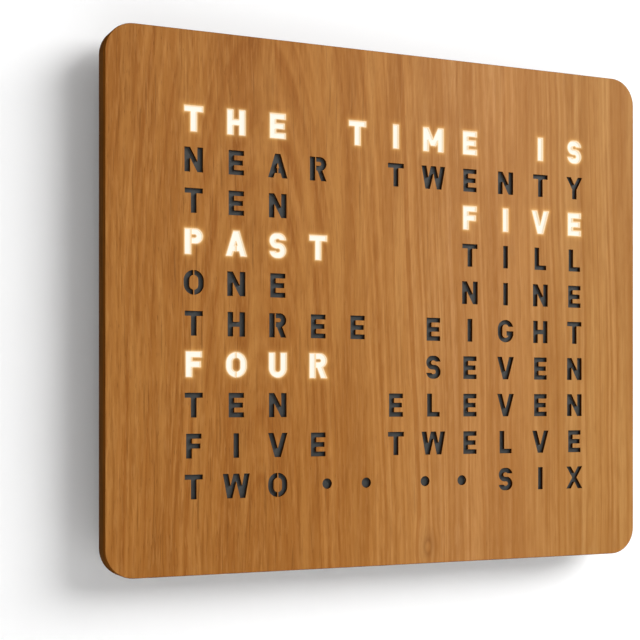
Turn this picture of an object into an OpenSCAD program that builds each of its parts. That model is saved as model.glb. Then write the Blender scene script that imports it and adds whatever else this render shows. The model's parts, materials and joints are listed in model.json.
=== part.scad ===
// Wall-hung word clock: a veneered front with letters cut through it, a dark case behind the
// front, a lit grid of cells in the case, and a smaller back box that stands it off the wall.
// Frame: X to the right seen from the front, Z up, and the front looks towards -Y.
// The origin is on the wall, behind the middle of the panel. All sizes are in millimetres.

/* [Front panel] */
// Width of the front panel
panel_w = 460; // [440:5:560]
// Height of the front panel
panel_h = 400; // [380:5:480]
// Radius of the panel's four corners
corner_r = 21.5; // [12:0.5:30]
// Thickness of the front panel at its rim
panel_t = 5; // [4:0.5:8]
// Thickness left in front of the diffuser, where the letters are cut
web_t = 2.5; // [1:0.1:2.5]

/* [Letters] */
// Distance between letter columns
col_pitch = 33.33; // [30:0.01:34]
// Distance between letter rows
row_pitch = 30; // [28:0.5:31]
// How far the letter grid sits right of the panel's middle
grid_shift = 3.5; // [0:0.5:5]
// Height of a letter
letter_h = 18.2; // [15:0.1:20]
// Width of an upright stroke
stem_w = 4.4; // [3:0.1:4.6]
// Height of a level stroke
bar_h = 3.7; // [2.4:0.1:3.8]
// Width of the bridges that hold the islands inside closed letters
bridge_w = 0.8; // [0.6:0.1:1.2]
// Diameter of a minute dot
dot_d = 8; // [5:0.5:10]

/* [Case] */
// Depth of the case frame behind the front panel
case_d = 11; // [9:0.5:18]
// Width of the case frame's bars
case_wall = 14; // [12:1:18]
// Thickness of the back panel that carries the lights
back_t = 4; // [3:0.5:6]
// How far the back panel stays inside the case's outline
back_inset = 6; // [4:0.5:7]
// Length of the screws from the back panel into the case frame
case_screw_l = 12; // [8:1:12]

/* [Light grid] */
// Thickness of the smoked diffuser sheet
diffuser_t = 2; // [2:0.5:3]
// How far the diffuser reaches past the outer cells
diffuser_rim = 6; // [4:0.5:8]
// Gap all round the diffuser in its pocket
diffuser_gap = 0.4; // [0.2:0.1:0.8]
// Thickness of the light grid's slats
slat_t = 2; // [1.2:0.2:3]
// Width of a light strip
strip_w = 10; // [8:0.5:12]
// Thickness of a light strip's flexible board
strip_t = 0.4; // [0.2:0.1:0.6]
// Width of one light chip
chip_w = 5; // [3.5:0.5:5.5]
// Height of one light chip
chip_h = 1.6; // [1:0.1:2]

/* [Back box] */
// Width of the back box
box_w = 280; // [270:5:330]
// Height of the back box
box_h = 220; // [216:2:240]
// How far the back box's middle is below the panel's middle
box_drop = 30; // [28:1:40]
// Depth of the back box's frame
box_d = 16; // [15.5:0.5:24]
// Thickness of the back box's walls
box_wall = 8; // [7:0.5:9]
// Radius of the back box's corners
box_r = 12; // [10:0.5:20]
// Thickness of the rear cover
cover_t = 4; // [3.5:0.5:6]
// Length of the screws from the back panel into the back box
box_screw_l = 14; // [10:1:16]
// Length of the rear cover's screws
cover_screw_l = 14; // [10:1:15]

/* [Hangers] */
// Distance between the two hanger plates
hanger_gap = 200; // [160:5:205]
// Height of the screw head holes above the origin
hanger_z = 48; // [40:1:50]
// Diameter of the hole that a wall screw's head goes in by
head_hole_d = 9; // [8:0.5:10]
// Width of the slot above it, for the wall screw's shank
shank_slot_w = 4.5; // [4:0.1:5.5]
// Length of the slot above the hole's middle
shank_slot_l = 11; // [9:0.5:13]
// Thickness of a hanger plate
hanger_t = 1.5; // [1:0.1:2]

/* [Buttons and inlet] */
// Distance between the push buttons
button_pitch = 25; // [20:1:28]
// Diameter of a button's cap
cap_d = 7; // [6:0.1:7.4]
// How far a cap stands out of its collar
cap_proud = 3.2; // [2.6:0.1:5]
// How far a button travels
button_travel = 2; // [1:0.1:2.4]
// Radial running gap round a cap
cap_gap = 0.05; // [0.02:0.01:0.1]
// Diameter of a button's threaded barrel
barrel_d = 10; // [9.8:0.1:11]
// Wire diameter of a button's spring
spring_wire_d = 0.5; // [0.3:0.05:0.6]
// Diameter of the plug's hole in the power inlet
jack_bore_d = 5.7; // [5.5:0.1:6.4]
// Diameter of the power inlet's centre pin
jack_pin_d = 2; // [1.3:0.1:2.5]
// Diameter of the power inlet's threaded barrel
jack_barrel_d = 8; // [7.8:0.1:9]

/* [Electronics] */
// Width of the control board
board_w = 90; // [80:1:94]
// Height of the control board
board_h = 60; // [54:1:64]
// Thickness of the circuit boards
board_t = 1.6; // [1:0.1:2]
// Height of the standoffs under the boards
standoff_h = 4; // [3:0.5:4.5]
// Diameter of the coin cell
cell_d = 20; // [16:0.5:20]
// Thickness of the coin cell
cell_t = 3.2; // [1.6:0.1:3.2]
// Diameter of an insulated wire
wire_d = 1.8; // [1.2:0.1:2.2]

/* [Hidden] */
$fn = 48;
outline_steps = 96;
small_steps = 24;
eps = 0.01;

// The rows of the face, with a full stop where the face stays plain
ROWS = [
    "THE.TIME.IS",
    "NEAR.TWENTY",
    "TEN....FIVE",
    "PAST...TILL",
    "ONE....NINE",
    "THREE.EIGHT",
    "FOUR..SEVEN",
    "TEN..ELEVEN",
    "FIVE.TWELVE",
    "TWO.....SIX"
];
row_count = len(ROWS);
col_count = len(ROWS[0]);
// Minute dots, in columns to the right of the middle column, all in the last row
DOT_COLS = [-1.775, -0.775, 0.775, 1.775];

// Depths, counted from the wall towards the front
cover_y = -cover_t;
box_y = cover_y - box_d;
back_y = box_y - back_t;
case_y = back_y - case_d;
face_y = case_y - panel_t;
web_y = face_y + web_t;
grid_y = web_y + diffuser_t;

// Light grid
grid_w = col_count * col_pitch;
grid_h = row_count * row_pitch;
baffle_d = back_y - grid_y;
strip_slot_h = 1;
strip_slot_gap = 0.4;
link_w = 4;
link_gap = 0.3;
window_share = 0.8;
window_h = 0.3;

// Back box
box_z = -box_drop;
box_floor_z = box_z - box_h / 2;
box_mid_y = (cover_y + box_y) / 2;

// Fasteners
wood_screw_d = 3;
wood_head_d = 6;
wood_head_h = 1.8;
screw_gap = 0.05;
hole_spare = 0.5;
recess_w = 0.9;
recess_l = 3.2;
recess_h = 1.2;
small_recess_l = 2.2;
small_recess_w = 0.6;
// Places of the screws, as shares of the width or the height that they are spread over
case_screw_x = 0.2;
case_screw_z = 0.36;
box_screw_x = 0.12;
box_screw_z = 0.14;
// How far below the hanger plates the upper side screws of the cover are
cover_screw_below = 14;

// Hanger plates
plate_w = 44;
plate_h = 30;
plate_r = 4;
plate_gap = 0.3;
plate_hole_x = 16;
plate_low = 9;
plate_screw_d = 2.5;
plate_head_d = 4;
plate_head_h = 0.9;
plate_screw_l = 3.2;
head_room = 1.5;

// Buttons
button_x = -100;
flange_r = 6.5;
flange_h = 2;
lip_h = 1.5;
collar_over = 0.6;
collar_h = 1.5;
collar_lift = 0.2;
cap_edge = 0.6;
cavity_gap = 0.2;
barrel_end = 2;
nut_w = 13;
nut_h = 2.5;
tab_w = 1.8;
tab_t = 0.5;
tab_l = 3;
spring_turns = 5;
spring_steps = 12;
spring_sides = 6;
spring_end_gap = 0.06;
spring_spare = 1.2;
spring_l = spring_turns * spring_wire_d + button_travel + spring_spare;
cavity_r = cap_d / 2 + collar_over + cavity_gap;
cavity_h = collar_lift + collar_h + spring_l;
barrel_top = box_wall + nut_h + barrel_end;

// Power inlet
inlet_x = 92;
inlet_flange_r = 6;
inlet_flange_h = 2;
inlet_in = 7;
inlet_bore_l = 10;
inlet_nut_w = 12;
inlet_pin_l = 9;
inlet_pin_seat = 2;
inlet_pin_root_d = jack_pin_d + 1;

// Boards: the middle of each in X and Z
board_r = 2;
board_x = 30;
board_z = -62;
board_y = box_y + standoff_h;
hole_inset = 4;
standoff_r = 2.5;
board_screw_d = 2.5;
board_head_d = 4.6;
board_head_h = 1.5;
board_screw_l = 4.5;
module_x = -72;
module_z = -62;
module_w = 40;
module_h = 27;
parts_y = board_y + board_t;

// Places of the parts on the control board, from its middle
edge_gap = 1;
processor_x = board_x - 8;
processor_z = board_z + 10;
processor_w = 26;
processor_h = 18;
processor_t = 0.8;
shield_w = 18;
shield_h = 15;
shield_t = 3;
shield_x = processor_x + edge_gap - (processor_w - shield_w) / 2;
// The round buffer capacitor lies on its side, with a groove near its foot
can_x = board_x + 24;
can_z = board_z + 4;
can_r = 4;
can_l = 12;
can_groove_z = 2;
can_groove_r = 0.6;
can_groove_h = 0.4;
block_w = 10.5;
block_h = 8;
block_t = 9;
block_x = board_x + board_w / 2 - block_w / 2 - 14;
block_z = board_z - board_h / 2 + block_h / 2 + edge_gap;
block_in_y = parts_y + block_t * 0.4;
block_in_l = 4;
clamp_screw_d = 3.4;
clamp_screw_h = 1.4;
clamp_screw_sink = 2;
clamp_gap = 0.1;
clamp_slot_w = 0.6;
clamp_slot_h = 0.6;
header_w = 23;
header_h = 5;
header_t = 7;
header_x = board_x - board_w / 2 + 20;
header_z = board_z - board_h / 2 + header_h / 2 + edge_gap;
pin_count = 8;
pin_pitch = 2.54;
pin_in_l = 3;
pin_y = parts_y + header_t * 0.45;
pin_z = header_z - header_h / 2 + pin_in_l - edge_gap;
wire_hole_gap = 0.2;

// Places of the parts on the clock module
holder_x = module_x - 5;
holder_wall = 1.5;
holder_floor = 1;
holder_lip = 0.6;
cell_gap = 0.2;
chip_x = module_x + module_w / 2 - 7;

wire_sides = 8;
wire_steps = 4;
// Length of each straight stretch at a wire's ends
wire_run = 3;
wire_gap = 0.1;
wire_pitch = wire_d + 0.5;

function col_x(i) = grid_shift + (i - (col_count - 1) / 2) * col_pitch;
function row_z(j) = ((row_count - 1) / 2 - j) * row_pitch;
function button_at(k) = button_x + k * button_pitch;
function strip_top(j) = row_z(j) + strip_w / 2;
function pin_x(i) = header_x + (i - (pin_count - 1) / 2) * pin_pitch;

// The hole that the lights' lead goes through: by the last strip, clear of the box's wall
lead_hole_d = 7;
lead_x = col_x(3);
lead_z = lead_hole_d / 2 + 1 + max(strip_top(row_count - 1), box_floor_z + box_wall);

// ---- shapes that repeat ----

// Draws a flat shape as a plate whose rear face is at y_rear and which is t thick
module slab(y_rear, t) {
    translate([0, y_rear, 0])
        rotate([90, 0, 0])
            linear_extrude(t)
                children();
}

module rounded_rect(w, h, r) {
    square([w, h - 2 * r], center = true);
    square([w - 2 * r, h], center = true);
    for (sx = [-1, 1], sy = [-1, 1])
        translate([sx * (w / 2 - r), sy * (h / 2 - r)])
            circle(r, $fn = outline_steps);
}

// A straight-sided shape with half-round ends on its short sides
module stadium(w, h) {
    r = min(w, h) / 2;
    run = max(w, h) - 2 * r;
    if (run > 0)
        square(w > h ? [run, h] : [w, run], center = true);
    for (s = [-1, 1])
        translate(w > h ? [s * run / 2, 0] : [0, s * run / 2])
            circle(r);
}

// A plate with one half-round end, to the right
module dee(w, h) {
    translate([-w / 2, -h / 2])
        square([w - h / 2, h]);
    translate([w / 2 - h / 2, 0])
        circle(h / 2);
}

// ---- letters, each centred on its own place ----

SHAPES = [
    ["A", 0.87], ["E", 0.67], ["F", 0.65], ["G", 0.81], ["H", 0.76], ["I", 0], ["L", 0.62],
    ["M", 0.97], ["N", 0.79], ["O", 0.86], ["P", 0.74], ["R", 0.76], ["S", 0.71],
    ["T", 0.77], ["U", 0.76], ["V", 0.86], ["W", 1.17], ["X", 0.86], ["Y", 0.86]
];
function letter_w(c) = letter_h * SHAPES[search([c], SHAPES)[0]][1];

module beam(x, y, w, h) {
    translate([x, y])
        square([w, h]);
}

// A leaning stroke between two levels, t wide measured level
module slant(x0, y0, x1, y1, t) {
    polygon([[x0 - t / 2, y0], [x0 + t / 2, y0], [x1 + t / 2, y1], [x1 - t / 2, y1]]);
}

module loop(w, h) {
    difference() {
        stadium(w, h);
        stadium(w - 2 * stem_w, h - 2 * bar_h);
    }
}

module stem(x) {
    beam(x, -letter_h / 2, stem_w, letter_h);
}

module shape_a(w) {
    half = letter_h / 2;
    low = -half + letter_h * 0.2;
    difference() {
        union() {
            for (s = [-1, 1])
                slant(s * (w / 2 - stem_w / 2), -half, 0, half, stem_w);
            beam(-w * 0.28, low, w * 0.56, bar_h);
        }
        beam(-bridge_w / 2, low - eps, bridge_w, bar_h + 2 * eps);
    }
}

module shape_e(w, feet) {
    half = letter_h / 2;
    stem(-w / 2);
    beam(-w / 2, half - bar_h, w, bar_h);
    beam(-w / 2, -bar_h / 2, w * 0.93, bar_h);
    if (feet)
        beam(-w / 2, -half, w, bar_h);
}

module shape_g(w) {
    difference() {
        loop(w, letter_h);
        beam(0, 0, w, letter_h * 0.2);
    }
    beam(w * 0.06, -bar_h, w * 0.44, bar_h);
}

module shape_h(w) {
    stem(-w / 2);
    stem(w / 2 - stem_w);
    beam(-w / 2, -bar_h / 2, w, bar_h);
}

module shape_l(w) {
    stem(-w / 2);
    beam(-w / 2, -letter_h / 2, w, bar_h);
}

module shape_m(w) {
    stem(-w / 2);
    stem(w / 2 - stem_w);
    for (s = [-1, 1])
        slant(s * (w / 2 - stem_w / 2), letter_h / 2, 0, -letter_h * 0.25, stem_w);
}

module shape_n(w) {
    stem(-w / 2);
    stem(w / 2 - stem_w);
    slant(stem_w / 2 - w / 2, letter_h / 2, w / 2 - stem_w / 2, -letter_h / 2, stem_w);
}

module shape_o(w) {
    difference() {
        loop(w, letter_h);
        beam(-bridge_w / 2, -letter_h, bridge_w, 2 * letter_h);
    }
}

module shape_p(w, leg) {
    half = letter_h / 2;
    bowl = letter_h * 0.57;
    difference() {
        union() {
            stem(-w / 2);
            if (leg)
                slant(w * 0.05, half - bowl + bar_h / 2, w / 2 - stem_w / 2, -half, stem_w);
            translate([0, half - bowl / 2])
                difference() {
                    dee(w, bowl);
                    dee(w - 2 * stem_w, bowl - 2 * bar_h);
                }
        }
        beam(stem_w - w / 2, half - bowl - eps, bridge_w, bowl + 2 * eps);
    }
}

module shape_s(w) {
    turn = (letter_h + bar_h) / 2;
    rise = (letter_h - turn) / 2;
    for (s = [-1, 1])
        rotate(s > 0 ? 0 : 180)
            difference() {
                translate([0, rise])
                    loop(w, turn);
                beam(0, -bar_h, w, rise + bar_h + letter_h * 0.05);
            }
}

module shape_t(w) {
    stem(-stem_w / 2);
    beam(-w / 2, letter_h / 2 - bar_h, w, bar_h);
}

module shape_u(w) {
    difference() {
        union() {
            stadium(w, letter_h);
            beam(-w / 2, 0, w, letter_h / 2);
        }
        stadium(w - 2 * stem_w, letter_h - 2 * bar_h);
        beam(stem_w - w / 2, 0, w - 2 * stem_w, letter_h);
    }
}

module shape_v(w) {
    for (s = [-1, 1])
        slant(s * (w / 2 - stem_w / 2), letter_h / 2, s * 0.3, -letter_h / 2, stem_w);
}

module shape_w(w) {
    foot = w * 0.235;
    for (s = [-1, 1]) {
        slant(s * (w / 2 - stem_w / 2), letter_h / 2, s * foot, -letter_h / 2, stem_w);
        slant(s * 0.4, letter_h / 2, s * foot, -letter_h / 2, stem_w * 0.86);
    }
}

module shape_x(w) {
    for (s = [-1, 1])
        slant(s * (w / 2 - stem_w / 2), letter_h / 2, -s * (w / 2 - stem_w / 2), -letter_h / 2, stem_w);
}

module shape_y(w) {
    fork = -letter_h * 0.06;
    for (s = [-1, 1])
        slant(s * (w / 2 - stem_w / 2), letter_h / 2, 0, fork, stem_w);
    beam(-stem_w / 2, -letter_h / 2, stem_w, letter_h / 2 + fork);
}

module letter(c) {
    w = letter_w(c);
    if (c == "A") shape_a(w);
    if (c == "E") shape_e(w, true);
    if (c == "F") shape_e(w, false);
    if (c == "G") shape_g(w);
    if (c == "H") shape_h(w);
    if (c == "I") stem(-stem_w / 2);
    if (c == "L") shape_l(w);
    if (c == "M") shape_m(w);
    if (c == "N") shape_n(w);
    if (c == "O") shape_o(w);
    if (c == "P") shape_p(w, false);
    if (c == "R") shape_p(w, true);
    if (c == "S") shape_s(w);
    if (c == "T") shape_t(w);
    if (c == "U") shape_u(w);
    if (c == "V") shape_v(w);
    if (c == "W") shape_w(w);
    if (c == "X") shape_x(w);
    if (c == "Y") shape_y(w);
}

module face_cuts() {
    for (j = [0:row_count - 1], i = [0:col_count - 1])
        if (ROWS[j][i] != ".")
            translate([col_x(i), row_z(j)])
                letter(ROWS[j][i]);
    for (d = DOT_COLS)
        translate([col_x((col_count - 1) / 2 + d), row_z(row_count - 1)])
            circle(d = dot_d);
}

// ---- front and case ----

module front_panel() {
    pocket_w = grid_w + 2 * (diffuser_rim + diffuser_gap);
    pocket_h = grid_h + 2 * (diffuser_rim + diffuser_gap);
    color("#b87f45")
        difference() {
            slab(case_y, panel_t)
                rounded_rect(panel_w, panel_h, corner_r);
            slab(case_y + eps, panel_t - web_t + eps)
                translate([grid_shift, 0])
                    square([pocket_w, pocket_h], center = true);
            slab(case_y, panel_t + eps)
                face_cuts();
        }
}

module case_screw_places() {
    in = (back_inset + case_wall) / 2;
    for (sx = [-1, 1], sz = [-1, 0, 1])
        translate([sx * (panel_w / 2 - in), 0, sz * panel_h * case_screw_z])
            children();
    for (sx = [-1, 1], sz = [-1, 1])
        translate([sx * panel_w * case_screw_x, 0, sz * (panel_h / 2 - in)])
            children();
}

module case_frame() {
    inner_r = max(corner_r - case_wall, 1);
    color("#3b2412")
        difference() {
            slab(back_y, case_d)
                rounded_rect(panel_w, panel_h, corner_r);
            slab(back_y + eps, case_d + 2 * eps)
                rounded_rect(panel_w - 2 * case_wall, panel_h - 2 * case_wall, inner_r);
            case_screw_places()
                wood_screw_hole(box_y, -1, case_screw_l);
        }
}

module diffuser_sheet() {
    color("#3a4245")
        slab(grid_y, diffuser_t)
            translate([grid_shift, 0])
                square([grid_w + 2 * diffuser_rim, grid_h + 2 * diffuser_rim], center = true);
}

module light_grid() {
    slot_w = strip_w + 2 * strip_slot_gap;
    color("#26282a")
        difference() {
            slab(back_y, baffle_d)
                difference() {
                    translate([grid_shift, 0])
                        square([grid_w + slat_t, grid_h + slat_t], center = true);
                    for (j = [0:row_count - 1], i = [0:col_count - 1])
                        translate([col_x(i), row_z(j)])
                            square([col_pitch - slat_t, row_pitch - slat_t], center = true);
                }
            for (j = [0:row_count - 1])
                translate([grid_shift - grid_w, back_y - strip_slot_h, row_z(j) - slot_w / 2])
                    cube([2 * grid_w, strip_slot_h + 1, slot_w]);
        }
}

// ---- screws ----

// A countersunk screw along Y: its head is flush at y and it points to dir
module wood_screw(y, dir, l) {
    translate([0, y, 0])
        rotate([-90 * dir, 0, 0])
            difference() {
                union() {
                    cylinder(h = wood_head_h, d1 = wood_head_d, d2 = wood_screw_d);
                    cylinder(h = l, d = wood_screw_d);
                }
                cross_recess(recess_l, recess_w, recess_h);
            }
}

// A cross recess sunk into a head whose face is at z = 0
module cross_recess(l, w, h) {
    for (a = [0, 90])
        rotate(a)
            translate([-l / 2, -w / 2, -eps])
                cube([l, w, h + eps]);
}

module wood_screw_hole(y, dir, l) {
    translate([0, y, 0])
        rotate([-90 * dir, 0, 0]) {
            translate([0, 0, -eps])
                cylinder(
                    h = wood_head_h + screw_gap,
                    d1 = wood_head_d + 2 * screw_gap,
                    d2 = wood_screw_d + 2 * screw_gap
                );
            cylinder(h = l + hole_spare, d = wood_screw_d + 2 * screw_gap);
        }
}

module case_screws() {
    color("#b9bcc0")
        case_screw_places()
            wood_screw(box_y, -1, case_screw_l);
}

module box_screw_places() {
    for (sx = [-1, 1], sz = [-1, 1]) {
        translate([sx * (box_w - box_wall) / 2, 0, box_z + sz * box_h * box_screw_z])
            children();
        translate([sx * box_w * box_screw_x, 0, box_z + sz * (box_h - box_wall) / 2])
            children();
    }
}

module box_screws() {
    color("#b9bcc0")
        box_screw_places()
            wood_screw(back_y, 1, box_screw_l);
}

module cover_screw_places() {
    side_z = hanger_z - plate_low - cover_screw_below - box_z;
    for (sx = [-1, 1], sz = [-1, 1])
        translate([sx * (box_w - box_wall) / 2, 0, box_z + sz * side_z])
            children();
    for (sz = [-1, 1])
        translate([0, 0, box_z + sz * (box_h - box_wall) / 2])
            children();
}

module cover_screws() {
    color("#b9bcc0")
        cover_screw_places()
            wood_screw(0, -1, cover_screw_l);
}

// ---- back panel and lights ----

module back_panel() {
    color("#e6e4de")
        difference() {
            slab(box_y, back_t)
                rounded_rect(
                    panel_w - 2 * back_inset,
                    panel_h - 2 * back_inset,
                    corner_r - back_inset
                );
            case_screw_places()
                wood_screw_hole(box_y, -1, case_screw_l);
            box_screw_places()
                wood_screw_hole(back_y, 1, box_screw_l);
            slab(box_y + eps, back_t + 2 * eps)
                translate([lead_x, lead_z])
                    circle(d = lead_hole_d);
        }
}

module light_strips() {
    color("#f2f2ee")
        for (j = [0:row_count - 1])
            slab(back_y, strip_t)
                translate([grid_shift, row_z(j)])
                    square([grid_w, strip_w], center = true);
}

// One light chip: a white case with a round yellow window sunk into it
module light_chip() {
    difference() {
        slab(back_y - strip_t, chip_h)
            square([chip_w, chip_w], center = true);
        slab(back_y - strip_t - chip_h + window_h, window_h + eps)
            circle(d = chip_w * window_share, $fn = small_steps);
    }
}

module light_chips() {
    color("#f7f3d8")
        for (j = [0:row_count - 1], i = [0:col_count - 1])
            translate([col_x(i), 0, row_z(j)])
                light_chip();
}

// Short flat cables that join each strip to the next, at alternate ends, round the grid's wall
module strip_links() {
    reach = slat_t / 2 + link_gap + link_w;
    color("#d8d8d4")
        for (j = [0:row_count - 2]) {
            side = j % 2 == 0 ? 1 : -1;
            translate([grid_shift + side * grid_w / 2, 0, row_z(j) - row_pitch / 2])
                slab(back_y, strip_t)
                    difference() {
                        translate([side * reach / 2, 0])
                            square([reach, row_pitch + link_w], center = true);
                        square([2 * (reach - link_w), row_pitch - link_w], center = true);
                    }
        }
}

// ---- back box ----

module box_outline() {
    translate([0, box_z])
        rounded_rect(box_w, box_h, box_r);
}

module back_box() {
    inner_r = max(box_r - box_wall, 1);
    color("#3b2412")
        difference() {
            slab(cover_y, box_d)
                difference() {
                    box_outline();
                    translate([0, box_z])
                        rounded_rect(box_w - 2 * box_wall, box_h - 2 * box_wall, inner_r);
                }
            box_screw_places()
                wood_screw_hole(back_y, 1, box_screw_l);
            cover_screw_places()
                wood_screw_hole(0, -1, cover_screw_l);
            for (k = [0:2])
                wall_hole(button_at(k), barrel_d + 2 * screw_gap);
            wall_hole(inlet_x, jack_barrel_d + 2 * screw_gap);
        }
}

// A hole up through the back box's lower wall
module wall_hole(x, d) {
    translate([x, box_mid_y, box_floor_z - 1])
        cylinder(h = box_wall + 2, d = d);
}

module hanger_places() {
    for (s = [-1, 1])
        translate([s * hanger_gap / 2, 0, hanger_z])
            children();
}

module plate_outline(gap) {
    translate([0, plate_h / 2 - plate_low])
        rounded_rect(plate_w + 2 * gap, plate_h + 2 * gap, plate_r);
}

module keyhole(gap) {
    circle(d = head_hole_d + 2 * gap);
    translate([-shank_slot_w / 2 - gap, 0])
        square([shank_slot_w + 2 * gap, shank_slot_l]);
    translate([0, shank_slot_l])
        circle(d = shank_slot_w + 2 * gap);
}

module rear_cover() {
    color("#2e2a27")
        difference() {
            slab(0, cover_t)
                box_outline();
            hanger_places() {
                slab(eps, hanger_t + eps)
                    plate_outline(plate_gap);
                slab(eps, cover_t + 2 * eps)
                    translate([0, shank_slot_l / 2])
                        stadium(head_hole_d + 2 * head_room, head_hole_d + shank_slot_l + 2 * head_room);
                for (s = [-1, 1])
                    translate([s * plate_hole_x, 0, 0])
                        slab(-hanger_t, plate_screw_l - hanger_t)
                            circle(d = plate_screw_d + 2 * screw_gap);
            }
            cover_screw_places()
                wood_screw_hole(0, -1, cover_screw_l);
        }
}

module hanger_plates() {
    color("#b9bcc0")
        hanger_places()
            difference() {
                slab(0, hanger_t)
                    difference() {
                        plate_outline(0);
                        keyhole(0);
                    }
                for (s = [-1, 1])
                    translate([s * plate_hole_x, 0, 0])
                        plate_screw_hole();
            }
}

module plate_screw_hole() {
    translate([0, eps, 0])
        rotate([90, 0, 0]) {
            cylinder(
                h = plate_head_h + screw_gap,
                d1 = plate_head_d + 2 * screw_gap,
                d2 = plate_screw_d + 2 * screw_gap
            );
            cylinder(h = hanger_t + 1, d = plate_screw_d + 2 * screw_gap);
        }
}

module hanger_screws() {
    color("#8d9094")
        hanger_places()
            for (s = [-1, 1])
                translate([s * plate_hole_x, 0, 0])
                    rotate([90, 0, 0])
                        difference() {
                            union() {
                                cylinder(h = plate_head_h, d1 = plate_head_d, d2 = plate_screw_d);
                                cylinder(h = plate_screw_l, d = plate_screw_d);
                            }
                            cross_recess(small_recess_l, small_recess_w, plate_head_h / 2);
                        }
}

// ---- electronics ----

// The four fixing holes of a board of this size
module board_corners(w, h) {
    for (sx = [-1, 1], sz = [-1, 1])
        translate([sx * (w / 2 - hole_inset), 0, sz * (h / 2 - hole_inset)])
            children();
}

module all_board_holes() {
    translate([board_x, 0, board_z])
        board_corners(board_w, board_h)
            children();
    translate([module_x, 0, module_z])
        board_corners(module_w, module_h)
            children();
}

module board(x, z, w, h) {
    difference() {
        slab(parts_y, board_t)
            translate([x, z])
                rounded_rect(w, h, board_r);
        translate([x, parts_y + eps, z])
            board_corners(w, h)
                rotate([90, 0, 0])
                    cylinder(h = board_t + 2 * eps, d = board_screw_d + 2 * screw_gap);
    }
}

module control_board() {
    color("#1f5f3a")
        board(board_x, board_z, board_w, board_h);
}

module clock_module() {
    color("#1d3f73")
        board(module_x, module_z, module_w, module_h);
}

module board_standoffs() {
    color("#c9a84e")
        all_board_holes()
            slab(board_y, standoff_h)
                difference() {
                    circle(standoff_r);
                    circle(d = board_screw_d + 2 * screw_gap);
                }
}

module board_screws() {
    color("#b9bcc0")
        all_board_holes() {
            translate([0, parts_y + board_head_h, 0])
                rotate([90, 0, 0])
                    difference() {
                        cylinder(h = board_head_h, d = board_head_d);
                        cross_recess(small_recess_l, small_recess_w, board_head_h / 2);
                    }
            slab(parts_y, board_screw_l)
                circle(d = board_screw_d);
        }
}

// A block of t thick standing on the boards, its middle at x and z
module on_board(x, z, w, h, t) {
    slab(parts_y + t, t)
        translate([x, z])
            square([w, h], center = true);
}

module processor_module() {
    color("#8f9498") {
        on_board(processor_x, processor_z, processor_w, processor_h, processor_t);
        on_board(shield_x, processor_z, shield_w, shield_h, shield_t);
    }
}

module buffer_capacitor() {
    color("#22242a")
        translate([can_x, parts_y + can_r, can_z])
            difference() {
                cylinder(h = can_l, r = can_r);
                translate([0, 0, can_groove_z])
                    rotate_extrude()
                        translate([can_r + can_groove_r - can_groove_h, 0])
                            circle(can_groove_r, $fn = small_steps);
            }
}

module terminal_block() {
    color("#2f7d4f")
        difference() {
            on_board(block_x, block_z, block_w, block_h, block_t);
            for (s = [-1, 1]) {
                translate([block_x + s * block_w / 4, parts_y + block_t - clamp_screw_sink, block_z])
                    rotate([-90, 0, 0])
                        cylinder(h = clamp_screw_sink + eps, d = clamp_screw_d + 2 * clamp_gap);
                translate([block_x + s * block_w / 4, block_in_y, block_z - block_h / 2 - eps])
                    cylinder(h = block_in_l, d = wire_d + 2 * wire_hole_gap);
            }
        }
}

module terminal_screws() {
    color("#b9bcc0")
        for (s = [-1, 1])
            translate([block_x + s * block_w / 4, parts_y + block_t - clamp_screw_sink, block_z])
                rotate([-90, 0, 0])
                    difference() {
                        cylinder(h = clamp_screw_h, d = clamp_screw_d);
                        translate([-clamp_screw_d / 2 - eps, -clamp_slot_w / 2, clamp_screw_h - clamp_slot_h])
                            cube([clamp_screw_d + 2 * eps, clamp_slot_w, clamp_slot_h + eps]);
                    }
}

module wire_header() {
    color("#f0efe8")
        difference() {
            on_board(header_x, header_z, header_w, header_h, header_t);
            for (i = [0:pin_count - 1])
                translate([pin_x(i), pin_y, header_z - header_h / 2 - eps])
                    cylinder(h = pin_in_l, d = wire_d + 2 * wire_hole_gap);
        }
}

module cell_holder() {
    color("#2a2c2e")
        translate([holder_x, parts_y, module_z])
            rotate([-90, 0, 0])
                difference() {
                    cylinder(h = holder_floor + cell_t + holder_lip, d = cell_d + 2 * holder_wall);
                    translate([0, 0, holder_floor])
                        cylinder(h = cell_t + holder_lip + eps, d = cell_d + 2 * cell_gap);
                }
}

module coin_cell() {
    color("#c8cacc")
        translate([holder_x, parts_y + holder_floor, module_z])
            rotate([-90, 0, 0])
                cylinder(h = cell_t, d = cell_d);
}

module clock_chip() {
    color("#1b1c1e")
        on_board(chip_x, module_z, 6, 9, 2);
}

// ---- buttons ----

module button_body(x) {
    translate([x, box_mid_y, box_floor_z])
        difference() {
            union() {
                translate([0, 0, -flange_h])
                    cylinder(h = flange_h, r = flange_r);
                cylinder(h = barrel_top, d = barrel_d);
                for (s = [-1, 1])
                    translate([s * barrel_d / 4 - tab_w / 2, -tab_t / 2, barrel_top])
                        cube([tab_w, tab_t, tab_l]);
            }
            translate([0, 0, -flange_h - eps])
                cylinder(h = lip_h + 2 * eps, r = cap_d / 2 + cap_gap);
            translate([0, 0, lip_h - flange_h])
                cylinder(h = cavity_h, r = cavity_r);
        }
}

module button_bodies() {
    color("#2b2d30")
        for (k = [0:2])
            button_body(button_at(k));
}

module hex_nut(x, w, d, h) {
    translate([x, box_mid_y, box_floor_z + box_wall])
        difference() {
            cylinder(h = h, d = w, $fn = 6);
            translate([0, 0, -eps])
                cylinder(h = h + 2 * eps, d = d + 2 * screw_gap);
        }
}

module button_nuts() {
    color("#b9bcc0")
        for (k = [0:2])
            hex_nut(button_at(k), nut_w, barrel_d, nut_h);
}

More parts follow.
